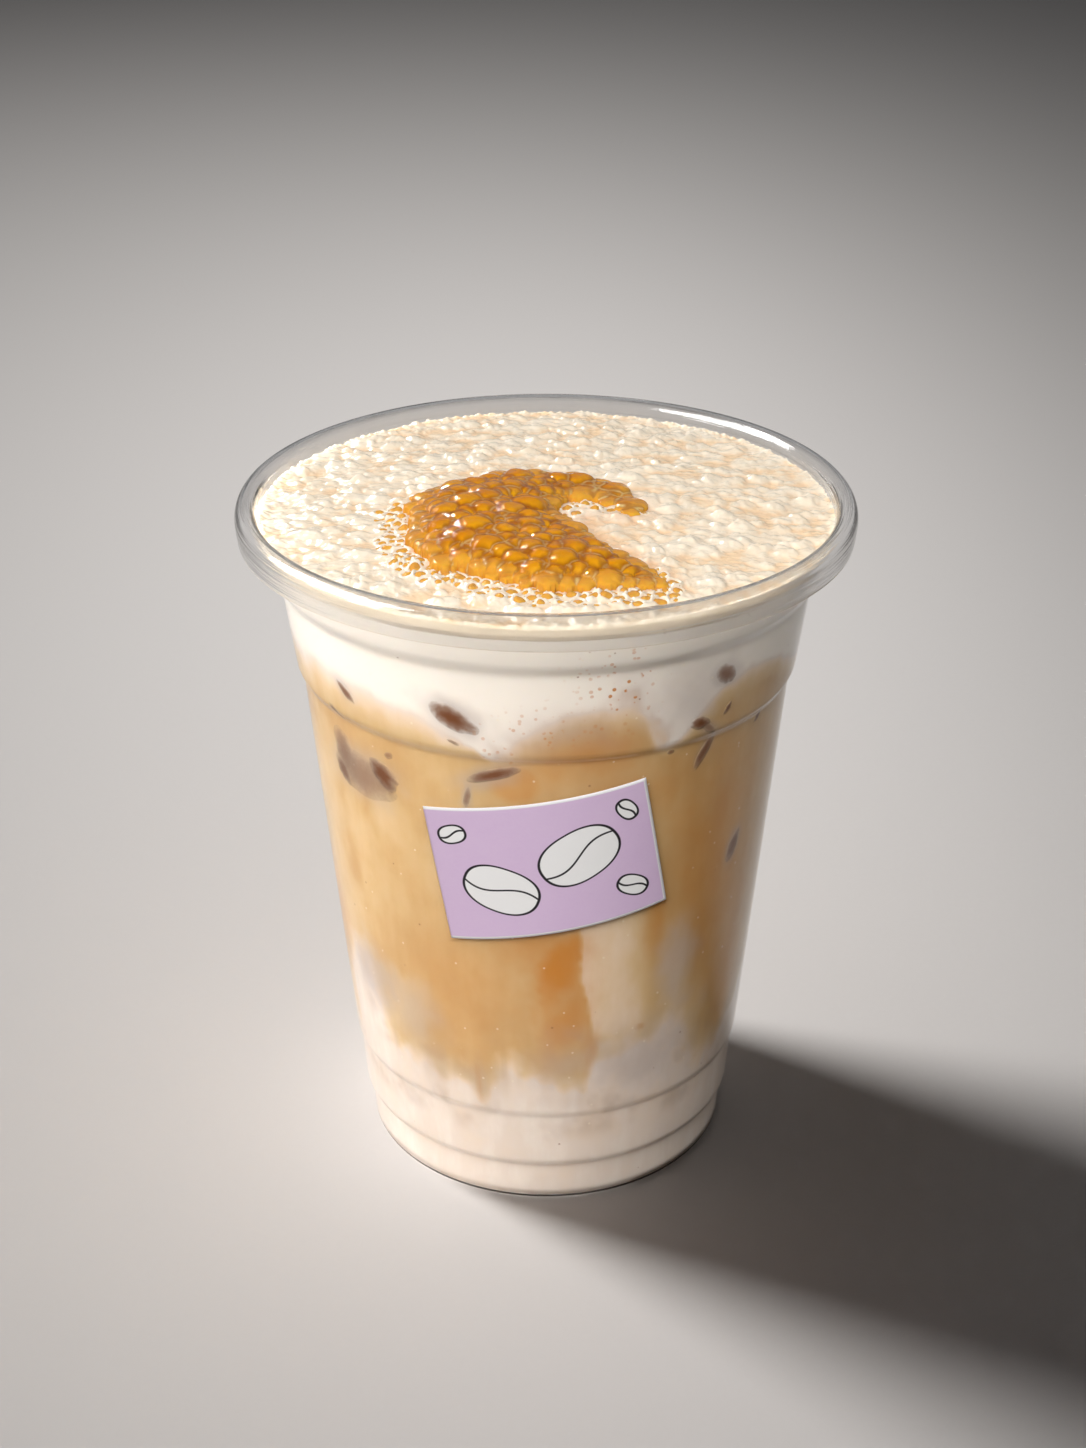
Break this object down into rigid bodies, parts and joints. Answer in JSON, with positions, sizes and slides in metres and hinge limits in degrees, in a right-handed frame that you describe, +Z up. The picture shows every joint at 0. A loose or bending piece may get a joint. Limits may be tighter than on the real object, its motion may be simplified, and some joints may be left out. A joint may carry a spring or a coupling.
{
  "type": "iced white mocha",
  "caption": "Iced white mocha in a clear plastic tumbler with a rolled rim: milk, coffee and milk foam in layers, a crescent of caramel froth on top, a small lilac sticker.",
  "frame": {"origin": "on the cup's axis, in the plane that the cup stands on", "axes": "+Z up along the cup's axis, -Y towards the sticker, +X to the right seen from there"},
  "size_m": [0.098, 0.098, 0.119],
  "materials": {
    "clear_plastic": "clear polished plastic",
    "milk": "cream white liquid",
    "milky_coffee": "tan liquid, streaked",
    "milk_foam": "fine wet foam",
    "caramel_froth": "glossy amber bubbles",
    "lilac_paper": "satin printed paper",
    "ice": "ice seen through the drink"
  },
  "bodies": {
    "root": {"cup": "clear_plastic", "milk": "milk", "coffee": "milky_coffee", "foam": "milk_foam", "froth": "caramel_froth", "sticker": "lilac_paper"}
  },
  "joints": []
}
